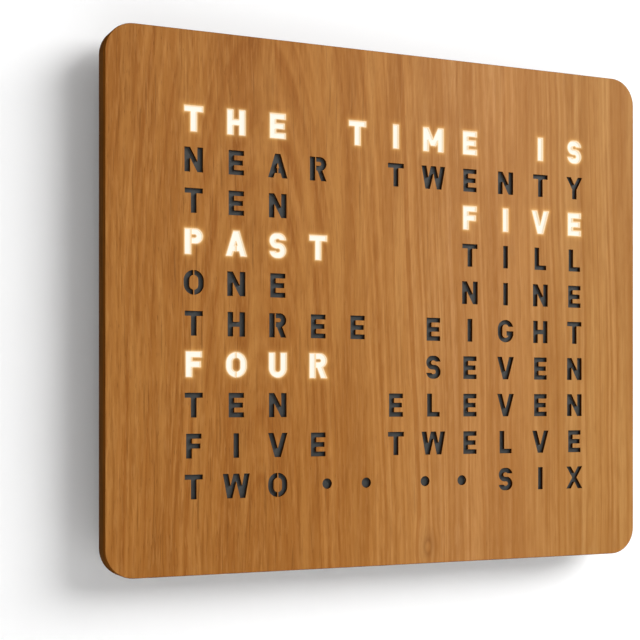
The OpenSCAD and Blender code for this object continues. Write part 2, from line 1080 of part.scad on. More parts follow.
module button_cap(x, hue) {
    foot_z = box_floor_z - flange_h - cap_proud;
    collar_z = box_floor_z - flange_h + lip_h + collar_lift;
    color(hue)
        translate([x, box_mid_y, 0]) {
            translate([0, 0, foot_z])
                cylinder(h = cap_edge, r1 = cap_d / 2 - cap_edge, r2 = cap_d / 2);
            translate([0, 0, foot_z + cap_edge])
                cylinder(h = collar_z - foot_z - cap_edge, d = cap_d);
            translate([0, 0, collar_z])
                cylinder(h = collar_h, r = cap_d / 2 + collar_over);
        }
}

module hour_button() {
    button_cap(button_at(0), "#c8322a");
}

module minute_button() {
    button_cap(button_at(1), "#26282b");
}

module brightness_button() {
    button_cap(button_at(2), "#e8e6df");
}

// ---- springs and wires, swept along points ----

function unit(v) = v / norm(v);
function heading(p, i) = unit(p[min(i + 1, len(p) - 1)] - p[max(i - 1, 0)]);
function square_to(n, t) = unit(n - (n * t) * t);
function normals(p, n0) = [
    for (
        i = 0, n = square_to(n0, heading(p, 0));
        i < len(p);
        i = i + 1, n = i < len(p) ? square_to(n, heading(p, i)) : n
    ) n
];
function ring(p, i, n, r, sides) = [
    for (k = [0:sides - 1])
        let (a = 360 * k / sides)
            p[i] + r * (cos(a) * n + sin(a) * cross(heading(p, i), n))
];

// A tube along the points p, with flat ends
module tube_along(p, r, sides, n0) {
    n = normals(p, n0);
    last = (len(p) - 1) * sides;
    points = [for (i = [0:len(p) - 1]) each ring(p, i, n[i], r, sides)];
    walls = [
        for (i = [0:len(p) - 2], k = [0:sides - 1])
            let (a = i * sides + k, b = i * sides + (k + 1) % sides)
                each [[a, a + sides, b], [b, a + sides, b + sides]]
    ];
    ends = [for (k = [1:sides - 2]) each [[0, k, k + 1], [last, last + k + 1, last + k]]];
    polyhedron(points, concat(walls, ends));
}

// A smooth curve through the points q, which leaves each point along its neighbours' line.
// Its first and last stretches are straight.
function curve_point(b, c, m, n, t) =
    let (l = norm(c - b))
        (2 * t * t * t - 3 * t * t + 1) * b + (t * t * t - 2 * t * t + t) * l * m
        + (3 * t * t - 2 * t * t * t) * c + (t * t * t - t * t) * l * n;
function curve(q, steps) = [
    q[0],
    for (i = [1:len(q) - 3], k = [0:steps - 1])
        curve_point(q[i], q[i + 1], heading(q, i), heading(q, i + 1), k / steps),
    q[len(q) - 2],
    q[len(q) - 1]
];

module button_spring(x) {
    low = box_floor_z - flange_h + lip_h + collar_lift + collar_h + spring_end_gap + spring_wire_d / 2;
    high = box_floor_z - flange_h + lip_h + cavity_h - spring_end_gap - spring_wire_d / 2;
    coil_r = cap_d / 2 - spring_wire_d;
    rings = spring_turns * spring_steps;
    coil = [
        for (i = [0:rings])
            let (a = 360 * i / spring_steps, f = i / rings)
                [
                    x + coil_r * cos(a),
                    box_mid_y + coil_r * sin(a),
                    low + (high - low) * f
                ]
    ];
    color("#c4c6c9")
        tube_along(coil, spring_wire_d / 2, spring_sides, [0, 0, 1]);
}

module hour_spring() {
    button_spring(button_at(0));
}

module minute_spring() {
    button_spring(button_at(1));
}

module brightness_spring() {
    button_spring(button_at(2));
}

// A wire that leaves its two ends along the headings a_dir and b_dir
module wire(a, a_dir, mids, b, b_dir, hue) {
    start = [for (k = [0:2]) a + k * wire_run * unit(a_dir)];
    finish = [for (k = [2:-1:0]) b + k * wire_run * unit(b_dir)];
    color(hue)
        tube_along(curve(concat(start, mids, finish), wire_steps), wire_d / 2, wire_sides, [0, 1, 0.1]);
}

// ---- power inlet ----

module power_inlet() {
    top = box_floor_z + box_wall + inlet_in;
    color("#1f2022")
        difference() {
            union() {
                translate([inlet_x, box_mid_y, box_floor_z - inlet_flange_h])
                    cylinder(h = inlet_flange_h, r = inlet_flange_r);
                translate([inlet_x, box_mid_y, box_floor_z])
                    cylinder(h = top - box_floor_z, d = jack_barrel_d);
                for (s = [-1, 1])
                    translate([inlet_x + s * jack_barrel_d / 4 - tab_w / 2, box_mid_y - tab_t / 2, top])
                        cube([tab_w, tab_t, tab_l]);
            }
            translate([inlet_x, box_mid_y, box_floor_z - inlet_flange_h - eps])
                cylinder(h = inlet_bore_l + eps, d = jack_bore_d);
            translate([inlet_x, box_mid_y, box_floor_z - inlet_flange_h + inlet_bore_l - eps])
                cylinder(h = inlet_pin_seat + eps, d = inlet_pin_root_d);
        }
}

// A slim pin with a thicker root, which sits in the bore's end
module inlet_pin() {
    color("#c9a84e")
        translate([inlet_x, box_mid_y, box_floor_z - inlet_flange_h + inlet_bore_l]) {
            translate([0, 0, -inlet_pin_l])
                cylinder(h = inlet_pin_l, d = jack_pin_d);
            cylinder(h = inlet_pin_seat, d = inlet_pin_root_d);
        }
}

module inlet_nut() {
    color("#b9bcc0")
        hex_nut(inlet_x, inlet_nut_w, jack_barrel_d, nut_h);
}

// ---- leads ----

UP = [0, 0, 1];
DOWN = [0, 0, -1];

// Two wires from the inlet's tabs to the terminal block
module power_lead() {
    tab_z = box_floor_z + box_wall + inlet_in + tab_l;
    for (s = [-1, 1]) {
        from_x = inlet_x + s * jack_barrel_d / 4;
        to_x = block_x + s * block_w / 4;
        wire(
            [from_x, box_mid_y, tab_z], UP,
            [],
            [to_x, block_in_y, block_z - block_h / 2 + pin_in_l], DOWN,
            s < 0 ? "#b3261e" : "#202124"
        );
    }
}

// From three pins of the header through the back panel to the last strip. The wires lie in a
// row close to the back panel, behind the buttons' wires.
module light_lead() {
    strip_y = back_y - strip_t - wire_d / 2 - wire_gap;
    row_y = box_y + wire_d + 1;
    for (k = [-1:1]) {
        from_x = pin_x(pin_count - 2 + k);
        to_x = lead_x + k * (wire_d + wire_gap);
        level_z = lead_z + 12 - k * wire_pitch;
        wire(
            [from_x, pin_y, pin_z], DOWN,
            [
                [from_x - 1, row_y + 2, pin_z - 3 * wire_run],
                [from_x - 6, row_y, (pin_z + level_z) / 2],
                [(from_x + to_x) / 2, row_y, level_z],
                [to_x + 4, row_y, level_z],
                [to_x, box_y, lead_z],
                [to_x, back_y, lead_z],
                [to_x, back_y - 2 * wire_d, lead_z - wire_d]
            ],
            [to_x, strip_y, strip_top(row_count - 1) - 1.5], [0, -0.6, 1],
            ["#b3261e", "#2c7a3d", "#202124"][k + 1]
        );
    }
}

// One wire from each button to the header, and a shared return that links the buttons. The
// wires lie one below the other, the one from the furthest button on top, so none cross.
module button_lead() {
    tab_z = box_floor_z + barrel_top + tab_l;
    side_y = tab_t / 2 + wire_d / 2 + wire_gap;
    side_z = tab_z - tab_l / 2;
    for (k = [0:3]) {
        shared = k == 3;
        from = shared
            ? [button_at(2) + barrel_d / 4, box_mid_y + side_y, side_z]
            : [button_at(k) - barrel_d / 4, box_mid_y, tab_z];
        level_z = pin_z - 3 * wire_run - (k + 1) * wire_pitch;
        wire(
            from, UP,
            [
                [from[0], from[1], level_z - wire_run],
                [from[0] + wire_run, from[1], level_z],
                [from[0] + 3 * wire_run, from[1], level_z],
                [pin_x(k) - 3 * wire_run, pin_y, level_z],
                [pin_x(k) - wire_run, pin_y, level_z]
            ],
            [pin_x(k), pin_y, pin_z], DOWN,
            shared ? "#202124" : "#d8a520"
        );
    }
    for (k = [0:1])
        wire(
            [button_at(k) + barrel_d / 4, box_mid_y + side_y, side_z], UP,
            [[button_at(k + 1) - barrel_d / 4 - 2, box_mid_y - wire_pitch - 0.5, tab_z + 2 * wire_run]],
            [button_at(k + 1) + barrel_d / 4, box_mid_y - side_y, side_z], UP,
            "#202124"
        );
}

// Four wires from the clock module's edge to the control board's
module clock_lead() {
    from_x = module_x + module_w / 2 - 2;
    to_x = board_x - board_w / 2 + 2;
    wire_y = parts_y + wire_d / 2 + wire_gap / 2;
    for (k = [0:3]) {
        wire_z = module_z + (k - 1.5) * wire_pitch;
        wire(
            [from_x, wire_y, wire_z], [1, 0, 0],
            [[(from_x + to_x) / 2, wire_y + 1, wire_z - 2]],
            [to_x, wire_y, wire_z], [-1, 0, 0],
            ["#b3261e", "#2c7a3d", "#2b5fa8", "#202124"][k]
        );
    }
}

front_panel();
case_frame();
diffuser_sheet();
light_grid();
back_panel();
light_strips();
light_chips();
strip_links();
back_box();
rear_cover();
hanger_plates();
hanger_screws();
case_screws();
box_screws();
cover_screws();
control_board();
processor_module();
buffer_capacitor();
terminal_block();
terminal_screws();
wire_header();
clock_module();
clock_chip();
cell_holder();
coin_cell();
board_standoffs();
board_screws();
power_inlet();
inlet_pin();
inlet_nut();
button_bodies();
button_nuts();
hour_button();
minute_button();
brightness_button();
hour_spring();
minute_spring();
brightness_spring();
power_lead();
light_lead();
button_lead();
clock_lead();
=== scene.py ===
import json
import math

import bmesh
import bpy
import numpy
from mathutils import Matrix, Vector


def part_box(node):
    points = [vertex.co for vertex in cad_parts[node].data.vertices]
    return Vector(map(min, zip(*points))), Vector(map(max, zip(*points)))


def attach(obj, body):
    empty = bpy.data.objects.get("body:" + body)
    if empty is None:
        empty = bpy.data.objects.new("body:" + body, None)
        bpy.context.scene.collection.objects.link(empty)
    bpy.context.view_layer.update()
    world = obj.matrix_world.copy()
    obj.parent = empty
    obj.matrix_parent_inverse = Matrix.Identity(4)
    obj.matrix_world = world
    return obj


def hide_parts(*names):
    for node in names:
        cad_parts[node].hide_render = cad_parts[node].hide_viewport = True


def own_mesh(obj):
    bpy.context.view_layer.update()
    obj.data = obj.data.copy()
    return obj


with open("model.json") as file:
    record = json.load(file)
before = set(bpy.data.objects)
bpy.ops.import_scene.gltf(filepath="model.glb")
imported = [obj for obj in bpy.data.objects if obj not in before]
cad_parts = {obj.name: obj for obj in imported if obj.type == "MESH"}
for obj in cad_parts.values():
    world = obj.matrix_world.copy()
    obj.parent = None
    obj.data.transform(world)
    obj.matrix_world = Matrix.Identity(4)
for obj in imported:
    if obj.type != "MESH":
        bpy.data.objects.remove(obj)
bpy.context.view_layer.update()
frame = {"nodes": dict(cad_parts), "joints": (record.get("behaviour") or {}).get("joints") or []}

NODES = frame["nodes"]
MM = 0.001

# The camera stands to the left of the clock and a little below its middle: its place in
# metres, its turn in degrees, its lens and sensor in mm, and its shift as a share of the sensor
CAMERA_AT = (-0.501, -1.013, -0.075)
CAMERA_TURN = -24.3
CAMERA_LENS = 78.75
CAMERA_SENSOR = 36
CAMERA_SHIFT = 0.133

# Strengths of the studio's light: the world's, and what keeps the wall white to the camera
WORLD_LIGHT = 0.32
WALL_FILL = 0.05

# The studio: half the width of its wall and floor, how far the wall stands clear of the rear
# cover, so that the two don't lie in one plane, and the height of the floor
STAGE_REACH = 4
WALL_GAP = 0.4 * MM
FLOOR_Z = -1.4

# The face: rows and columns are counted from its upper left cell. A lit word is its row, its
# first column and its last one.
ROWS = 10
COLUMNS = 11
LIT_WORDS = [(0, 0, 10), (2, 7, 10), (3, 0, 3), (6, 0, 3)]

# A net of faces round each lit letter: its pitch, and its lines to each side of the middle
NET = 1.0 * MM
NET_LINES = 12

# How far the painted glow round a lit letter, which stands in for its spilt light, reaches over
# the front before it is down to a third
PAINTED_GLOW_REACH = 1.2 * MM

# The rounding of the front's outer arris, and how near the outline a face belongs to the rim
EASED = 0.8 * MM
RIM = 30 * MM

# How far a face of the panel looks to the front to take the veneer, and to the rear to be inside
VENEER_TURN = 0.8
INSIDE_TURN = 0.5

# How near two points are to be one, a point to the front to lie in it, and a point to a cut to
# lie on it (in metres)
SAME_POINT = 0.001 * MM
FLUSH = 0.01 * MM
ON_CUT = 1e-7

panel_low, panel_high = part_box("front_panel")
strips_low, strips_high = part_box("light_strips")
grid_low, grid_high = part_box("light_grid")
# The rear of the thin web that the letters are cut through
web_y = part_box("diffuser_sheet")[0].y
slat = (grid_high.x - grid_low.x) - (strips_high.x - strips_low.x)
column_pitch = (strips_high.x - strips_low.x) / COLUMNS
row_pitch = (grid_high.z - grid_low.z - slat) / ROWS
face_left = strips_low.x
face_top = grid_high.z - slat / 2


def word_area(row, first, last):
    """The lowest and highest x and z of the cells that a lit word fills."""
    return (
        face_left + first * column_pitch,
        face_left + (last + 1) * column_pitch,
        face_top - (row + 1) * row_pitch,
        face_top - row * row_pitch,
    )


# ---- materials ----

# A row of marks: width and length in mm, detail, where they begin and where they are full,
# strength and colour. The edge's grain and the fibres take their colour later. The pores are
# drawn 0.8 mm wide and the fibres 2 mm, because real ones are too fine to show.
BROAD_MARKS = [
    (26, 420, 2, 0.42, 0.64, 0.62, "#8c541e"),
    (11, 260, 2, 0.50, 0.32, 0.45, "#b07a3d"),
    (5, 28, 3, 0.46, 0.68, 0.22, "#844d19"),
]
FINE_MARKS = [
    (3.4, 80, 3, 0.50, 0.70, 0.33, "#804a17"),
    (1.5, 24, 4, 0.49, 0.66, 0.31, "#754111"),
    (1.4, 18, 4, 0.50, 0.34, 0.26, "#bc864a"),
    (1.2, 60, 2, 0.62, 0.72, 0.42, "#582e08"),
    (0.8, 7, 2, 0.60, 0.74, 0.38, "#4f2806"),
]
EDGE_GRAIN = (1.5, 40, 4, 0.4, 0.65, 0.8)
PRESSED_FIBRES = (2, 2, 6, 0.3, 0.7, 1)

# The slow wander of the grain: its width and length in mm, and how far it goes
WANDER_MARKS = (90, 260)
WANDER = 12 * MM

# The trunk's rings: the place of its heart and the depth of that behind the front, its lean,
# the width of a ring, and the tones across one
HEART_X = -105 * MM
HEART_DEPTH = 35 * MM
TRUNK_LEAN = 0.16
RING = 4 * MM
RING_TONES = [(0.3, "#945b24"), (0.5, "#9f672d"), (0.7, "#a87036")]

# Where the fine marks begin to fade and are faintest, and how much of them has gone by there
FADE_FROM = -180 * MM
FADE_TO = 120 * MM
FADED = 0.68

# The paler band, partly the wood's own paler tone and partly a painted sheen: the stretch that its
# stops divide, and what it lifts at each
SHEEN_BAND_FROM = -200 * MM
SHEEN_BAND_TO = 230 * MM
PALE_TONE_AND_SHEEN_BAND = [(0.3, "#000000"), (0.58, "#728fbc"), (0.72, "#728fbc"), (0.88, "#527da8")]

# The knot: its place, how far round it the grain bends, by what share the grain parts, the
# knot's own reach, its width for its height, its shades from the middle out, its strength
KNOT_X, KNOT_Z = 32 * MM, -187 * MM
KNOT_BENDS = 16 * MM
KNOT_PARTS = 0.6
KNOT_REACH = 10 * MM
KNOT_SQUASH = 0.55
KNOT_SHADES = [
    (0.0, "#606060"),
    (0.14, "#808080"),
    (0.3, "#e0e0e0"),
    (0.5, "#9a9a9a"),
    (1.0, "#000000"),
]
KNOT_STRENGTH = 0.5

# The painted glow of spilt light on the veneer, from none to full beside the cut
PAINTED_GLOW_SHADES = [
    (0.0, "#000000"),
    (0.12, "#402f16"),
    (0.24, "#5c4a28"),
    (0.5, "#84744f"),
    (1.0, "#e6dcbc"),
]

# The grit of moulded plastic and the clouds of a plated metal's gloss, in mm. Both are drawn
# that coarse because real ones are too fine to show. A cloud is that much smoother or duller.
GRIT = 0.6
CLOUD = 3
SMOOTHER = 0.08
DULLER = 0.12


def linear(hex_code):
    """An sRGB hex colour as linear red, green, blue and alpha."""
    parts = [int(hex_code[i:i + 2], 16) / 255 for i in (1, 3, 5)]
    return [p / 12.92 if p <= 0.04045 else ((p + 0.055) / 1.055) ** 2.4 for p in parts] + [1]


def add(tree, kind, inputs=None, stops=(), **settings):
    """Adds a node with its settings, and sets its inputs or links other nodes to them."""
    node = tree.nodes.new("ShaderNode" + kind)
    for name, value in settings.items():
        setattr(node, name, value)
    for key, value in (inputs or {}).items():
        # Some nodes have several inputs of one name, of which the enabled one is in use
        named = [s for s in node.inputs if s.enabled and s.name == key]
        socket = named[0] if named else node.inputs[key]
        if isinstance(value, bpy.types.Node):
            value = next(s for s in value.outputs if s.enabled)
        if isinstance(value, bpy.types.NodeSocket):
            tree.links.new(value, socket)
        else:
            socket.default_value = linear(value) if isinstance(value, str) else value
    if stops:
        ramp = node.color_ramp.elements
        while len(ramp) < len(stops):
            ramp.new(0.5)
        for mark, (position, hex_code) in zip(ramp, stops):
            mark.position, mark.color = position, linear(hex_code)
    return node


def start(name):
    """An empty material, its node tree, and the place of each point in metres."""
    material = bpy.data.materials.new(name)
    material.use_nodes = True
    tree = material.node_tree
    tree.nodes.clear()
    return material, tree, add(tree, "TexCoord").outputs["Object"]


def marks(tree, place, width_mm, length_mm, detail=2.0):
    """Soft marks so wide and, along Z, so long."""
    across, along = 1 / (width_mm * MM), 1 / (length_mm * MM)
    spread = add(tree, "Mapping", {"Vector": place, "Scale": (across, across, along)})
    return add(tree, "TexNoise", {"Vector": spread, "Scale": 1, "Detail": detail})


def layered(tree, place, colour, layers):
    """Lays rows of marks over a colour, and returns it with the last row's strength."""
    for width, length, detail, none, full, share, hex_code in layers:
        reach = {
            "Value": marks(tree, place, width, length, detail),
            "From Min": none,
            "From Max": full,
            "To Max": share,
        }
        amount = add(tree, "MapRange", reach, interpolation_type="SMOOTHSTEP")
        colour = add(tree, "Mix", {"Factor": amount, "A": colour, "B": hex_code}, data_type="RGBA")
    return colour, amount


def lit_colour(tree, place, hex_code):
    """The colour in the lit words' cells, and black elsewhere."""
    split = add(tree, "SeparateXYZ", {0: place}).outputs
    total = 0
    for word in LIT_WORDS:
        x0, x1, z0, z1 = word_area(*word)
        wide = {0: split[0], 1: (x0 + x1) / 2, 2: (x1 - x0) / 2}
        high = {0: split[2], 1: (z0 + z1) / 2, 2: (z1 - z0) / 2}
        inside_x = add(tree, "Math", wide, operation="COMPARE")
        inside_z = add(tree, "Math", high, operation="COMPARE")
        inside = add(tree, "Math", {0: inside_x, 1: inside_z}, operation="MULTIPLY")
        total = add(tree, "Math", {0: inside, 1: total}, operation="MAXIMUM")
    return add(tree, "Mix", {"Factor": total, "A": "#000000", "B": hex_code}, data_type="RGBA")


def oak_grain(tree, place):
    """Flat-cut oak: tones, arches, streaks, thin dark lines, pores, a paler band with painted
    sheen, and one small knot.
    """
    from_knot = {
        "Vector": place,
        "Location": (-KNOT_X, 0, -KNOT_SQUASH * KNOT_Z),
        "Scale": (1, 0, KNOT_SQUASH),
    }
    distance = add(tree, "VectorMath", {0: add(tree, "Mapping", from_knot)}, operation="LENGTH")
    reach = {"Value": distance, "From Min": KNOT_BENDS, "From Max": 0}
    near = add(tree, "MapRange", reach, interpolation_type="SMOOTHSTEP")
    # The grain parts round the knot, and wanders a little up the sheet
    split = add(tree, "SeparateXYZ", {0: place}).outputs
    side = add(tree, "Math", {0: split[0], 1: KNOT_X}, operation="SUBTRACT")
    pull = add(tree, "Math", {0: near, 1: -KNOT_PARTS}, operation="MULTIPLY")
    bent = add(tree, "Math", {0: side, 1: pull, 2: split[0]}, operation="MULTIPLY_ADD")
    slow = marks(tree, place, *WANDER_MARKS)
    wander = add(tree, "Math", {0: slow, 1: WANDER, 2: bent}, operation="MULTIPLY_ADD")
    bent_place = add(tree, "CombineXYZ", {0: wander, 1: split[1], 2: split[2]})
    # Rings of the trunk, which leans, so they show as arches up the sheet
    across = add(tree, "Math", {0: wander, 1: HEART_X}, operation="SUBTRACT")
    lean = {0: split[2], 1: TRUNK_LEAN, 2: HEART_DEPTH}
    depth = add(tree, "Math", lean, operation="MULTIPLY_ADD")
    spot = add(tree, "CombineXYZ", {0: across, 1: depth})
    radius = add(tree, "VectorMath", {0: spot}, operation="LENGTH")
    ring = add(tree, "Math", {0: radius, 1: 1 / RING}, operation="MULTIPLY")
    rings = add(tree, "TexNoise", {"W": ring, "Scale": 1, "Detail": 2}, noise_dimensions="1D")
    colour = add(tree, "ValToRGB", {0: rings}, stops=RING_TONES)
    broad, _ = layered(tree, bent_place, colour, BROAD_MARKS)
    fine, pores = layered(tree, bent_place, broad, FINE_MARKS)
    # The fine marks grow fainter towards the right
    fade = {"Value": split[0], "From Min": FADE_FROM, "From Max": FADE_TO, "To Max": FADED}
    fade = add(tree, "MapRange", fade)
    colour = add(tree, "Mix", {"Factor": fade, "A": fine, "B": broad}, data_type="RGBA")
    # A paler band right of the middle, partly the wood's own paler tone and partly a painted sheen
    # where the lamp skims the veneer: dodging lifts its green and blue most, and keeps the streaks
    # as strong
    # Painted sheen: the band lightens the veneer towards the right, as a gloss from the lamp would
    stretch = {"Value": split[0], "From Min": SHEEN_BAND_FROM, "From Max": SHEEN_BAND_TO}
    paler_and_sheen = add(tree, "ValToRGB", {0: add(tree, "MapRange", stretch)}, stops=PALE_TONE_AND_SHEEN_BAND)
    dodge = {"Factor": 1.0, "A": colour, "B": paler_and_sheen}
    colour = add(tree, "Mix", dodge, data_type="RGBA", blend_type="DODGE")
    # The knot: a paler heart in a dark ring
    span = add(tree, "Math", {0: distance, 1: 1 / KNOT_REACH}, operation="MULTIPLY")
    shade = add(tree, "ValToRGB", {0: span}, stops=KNOT_SHADES)
    knot = add(tree, "Math", {0: shade, 1: KNOT_STRENGTH}, operation="MULTIPLY")
    colour = add(tree, "Mix", {"Factor": knot, "A": colour, "B": "#5c2f0e"}, data_type="RGBA")
    return colour, pores


def oak_veneer():
    """Oiled oak veneer: warm brown with upright grain, a low sheen where light skims it, and a
    painted glow of spilt light round the lit letters.
    """
    material, tree, place = start("oak_veneer_oiled")
    colour, pores = oak_grain(tree, place)
    # The veneer's emission is a painted glow of spilt light round the lit letters
    painted_glow = add(tree, "Attribute", attribute_name="painted_glow").outputs["Fac"]
    dents = {"Strength": 0.3, "Distance": 0.06 * MM, "Height": pores}
    look = {
        "Base Color": colour,
        "Roughness": 0.45,
        "Specular IOR Level": 0.06,
        "Normal": add(tree, "Bump", dents, invert=True),
        "Emission Color": add(tree, "ValToRGB", {0: painted_glow}, stops=PAINTED_GLOW_SHADES),
        "Emission Strength": 1.0,
    }
    add(tree, "OutputMaterial", {"Surface": add(tree, "BsdfPrincipled", look)})
    return material


def edge_wood(name, light_code, dark_code, roughness, lit=False):
    """Wood seen on its edge, sealed and matt: one tone with a grain that only just shows. When
    lit, it also carries a painted cream glow in the lit words' cells.
    """
    material, tree, place = start(name)
    grain, _ = layered(tree, place, light_code, [EDGE_GRAIN + (dark_code,)])
    look = {"Base Color": grain, "Roughness": roughness, "Specular IOR Level": 0.0}
    if lit:
        # A painted glow: the edge emits cream light in the lit words' cells
        look["Emission Color"] = lit_colour(tree, place, "#faeccc")
        look["Emission Strength"] = 0.9
    add(tree, "OutputMaterial", {"Surface": add(tree, "BsdfPrincipled", look)})
    return material


def smoked_acrylic():
    """Smoked acrylic with a matt face: nearly black, and warm white where a cell behind is lit."""
    material, tree, place = start("smoked_acrylic_matt")
    look = {
        "Base Color": "#424342",
        "Roughness": 0.5,
        "Specular IOR Level": 0.12,
        "Emission Color": lit_colour(tree, place, "#faf5e6"),
        "Emission Strength": 1.0,
    }
    add(tree, "OutputMaterial", {"Surface": add(tree, "BsdfPrincipled", look)})
    return material


def moulded(name, hex_code, roughness=0.45):
    """Plastic from a spark-eroded mould: an even colour whose gloss a fine grit breaks up."""
    material, tree, place = start(name)
    grit = marks(tree, place, GRIT, GRIT, 3)
    bump = add(tree, "Bump", {"Strength": 0.2, "Distance": 0.05 * MM, "Height": grit})
    look = {"Base Color": hex_code, "Roughness": roughness, "Normal": bump}
    add(tree, "OutputMaterial", {"Surface": add(tree, "BsdfPrincipled", look)})
    return material


def plated(name, hex_code, roughness):
    """Plated or turned metal: bright, with a faint uneven gloss."""
    material, tree, place = start(name)
    cloud = marks(tree, place, CLOUD, CLOUD, 3)
    gloss = {"Value": cloud, "To Min": roughness - SMOOTHER, "To Max": roughness + DULLER}
    look = {"Base Color": hex_code, "Metallic": 1.0, "Roughness": add(tree, "MapRange", gloss)}
    add(tree, "OutputMaterial", {"Surface": add(tree, "BsdfPrincipled", look)})
    return material


def pressed_board(name, light_code, dark_code):
    """Painted hardboard: an even coat over fine pressed fibres."""
    material, tree, place = start(name)
    colour, fibres = layered(tree, place, light_code, [PRESSED_FIBRES + (dark_code,)])
    look = {
        "Base Color": colour,
        "Roughness": 0.6,
        "Specular IOR Level": 0.25,
        "Normal": add(tree, "Bump", {"Strength": 0.2, "Distance": 0.1 * MM, "Height": fibres}),
    }
    add(tree, "OutputMaterial", {"Surface": add(tree, "BsdfPrincipled", look)})
    return material


# ---- camera, light and wall ----


def place_camera():
    """The camera, level, at the photograph's viewing angle."""
    data = bpy.data.cameras.new("camera")
    data.lens = CAMERA_LENS
    data.sensor_width = CAMERA_SENSOR
    data.shift_y = CAMERA_SHIFT
    camera = bpy.data.objects.new("camera", data)
    camera.location = CAMERA_AT
    camera.rotation_euler = (math.radians(90), 0, math.radians(CAMERA_TURN))
    bpy.context.scene.collection.objects.link(camera)
    bpy.context.scene.camera = camera


def place_lamp(name, turn, rise, away, size, power):
    """An oval soft lamp, turned to the right of straight ahead and raised, both in degrees."""
    turn, rise = math.radians(turn), math.radians(rise)
    level = Vector((math.sin(turn), -math.cos(turn), 0))
    direction = level * math.cos(rise) + Vector((0, 0, math.sin(rise)))
    data = bpy.data.lights.new(name, "AREA")
    data.shape = "ELLIPSE"
    data.size, data.size_y = size
    data.energy = power
    lamp = bpy.data.objects.new(name, data)
    lamp.location = direction * away
    lamp.rotation_euler = direction.to_track_quat("Z", "Y").to_euler()
    bpy.context.scene.collection.objects.link(lamp)


def light_world():
    """Soft light from all round, which looks white itself and in gloss."""
    world = bpy.data.worlds.new("studio")
    world.use_nodes = True
    tree = world.node_tree
    tree.nodes.clear()
    path = add(tree, "LightPath").outputs
    seen = path["Is Camera Ray"]
    for ray in ("Is Glossy Ray", "Is Transmission Ray"):
        seen = add(tree, "Math", {0: seen, 1: path[ray]}, operation="MAXIMUM")
    strength = add(tree, "MapRange", {"Value": seen, "To Min": WORLD_LIGHT, "To Max": 1.0})
    sky = add(tree, "Background", {"Color": "#ffffff", "Strength": strength})
    add(tree, "OutputWorld", {"Surface": sky})
    bpy.context.scene.world = world


def white_paint(name, one_sided):
    """Matt white paint that stays white to the camera, and can be clear from behind."""
    material, tree, _ = start(name)
    path = add(tree, "LightPath").outputs
    fill = add(tree, "Math", {0: path["Is Camera Ray"], 1: WALL_FILL}, operation="MULTIPLY")
    shine = add(tree, "Emission", {"Color": "#ffffff", "Strength": fill})
    front = add(tree, "AddShader", {0: add(tree, "BsdfDiffuse", {"Color": "#f8f8f8"}), 1: shine})
    if one_sided:
        behind = add(tree, "NewGeometry").outputs["Backfacing"]
        through = add(tree, "Math", {0: behind, 1: path["Is Shadow Ray"]}, operation="MAXIMUM")
        front = add(tree, "MixShader", {0: through, 1: front, 2: add(tree, "BsdfTransparent")})
    add(tree, "OutputMaterial", {"Surface": front})
    return material


def stage_plane(name, material, at, tilt):
    """A large square of the studio."""
    bm = bmesh.new()
    bmesh.ops.create_grid(bm, x_segments=1, y_segments=1, size=STAGE_REACH)
    mesh = bpy.data.meshes.new(name)
    bm.to_mesh(mesh)
    bm.free()
    mesh.materials.append(material)
    plane = bpy.data.objects.new(name, mesh)
    plane.location = at
    plane.rotation_euler = (math.radians(tilt), 0, 0)
    bpy.context.scene.collection.objects.link(plane)


# ---- pieces ----


def merged_copy(node):
    """A bmesh of a frame node with its loose triangles joined."""
    bm = bmesh.new()
    bm.from_mesh(NODES[node].data)
    bmesh.ops.remove_doubles(bm, verts=bm.verts, dist=SAME_POINT)
    return bm


def finished(name, bm, materials):
    """Makes the piece's object from its bmesh. It rides on the clock's still body."""
    mesh = bpy.data.meshes.new(name)
    bm.to_mesh(mesh)
    bm.free()
    for material in materials:
        mesh.materials.append(material)
    piece = bpy.data.objects.new(name, mesh)
    bpy.context.scene.collection.objects.link(piece)
    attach(piece, "root")
    return piece


def in_front(vert):
    """True for a vertex that lies in the panel's front."""
    return abs(vert.co.y - panel_low.y) < FLUSH


def on_front(item):
    """True for an edge or a face that lies in the panel's front."""
    return all(in_front(v) for v in item.verts)


def near_outline(place):
    """True for a place near the panel's outline, outside all the letters."""
    reach = panel_high - Vector((RIM, 0, RIM))
    return abs(place.x) > reach.x or abs(place.z) > reach.z


def middle_in(face, axis, low, high):
    """True for a face whose middle lies between two places on an axis."""
    return low < face.calc_center_median()[axis] < high


def cut_lines(bm, faces, axis, places):
    """Cuts the faces along lines across the axis and returns the faces that they became."""
    normal = Vector((0, 0, 0))
    normal[axis] = 1
    geom = set(faces)
    for face in faces:
        geom.update(face.edges, face.verts)
    for place in places:
        found = bmesh.ops.bisect_plane(
            bm, geom=list(geom), dist=ON_CUT, plane_co=normal * place, plane_no=normal
        )
        geom = set(found["geom"])
    return [g for g in geom if isinstance(g, bmesh.types.BMFace)]


def net_of_faces(bm, word):
    """Cuts the front of a lit word's cells into a fine net, and returns its area."""
    x0, x1, z0, z1 = word_area(*word)
    lines = [NET * (i - NET_LINES) for i in range(2 * NET_LINES + 1)]
    faces = cut_lines(bm, [f for f in bm.faces if on_front(f)], 2, (z0, z1))
    columns = [x0 + i * column_pitch for i in range(word[2] - word[1] + 2)]
    band = cut_lines(bm, [f for f in faces if middle_in(f, 2, z0, z1)], 0, columns)
    cut = []
    for left in columns[:-1]:
        cell = [f for f in band if f.is_valid and middle_in(f, 0, left, left + column_pitch)]
        cut += cut_lines(bm, cell, 0, [left + column_pitch / 2 + s for s in lines])
    cut_lines(bm, cut, 2, [(z0 + z1) / 2 + s for s in lines])
    return x0, x1, z0, z1


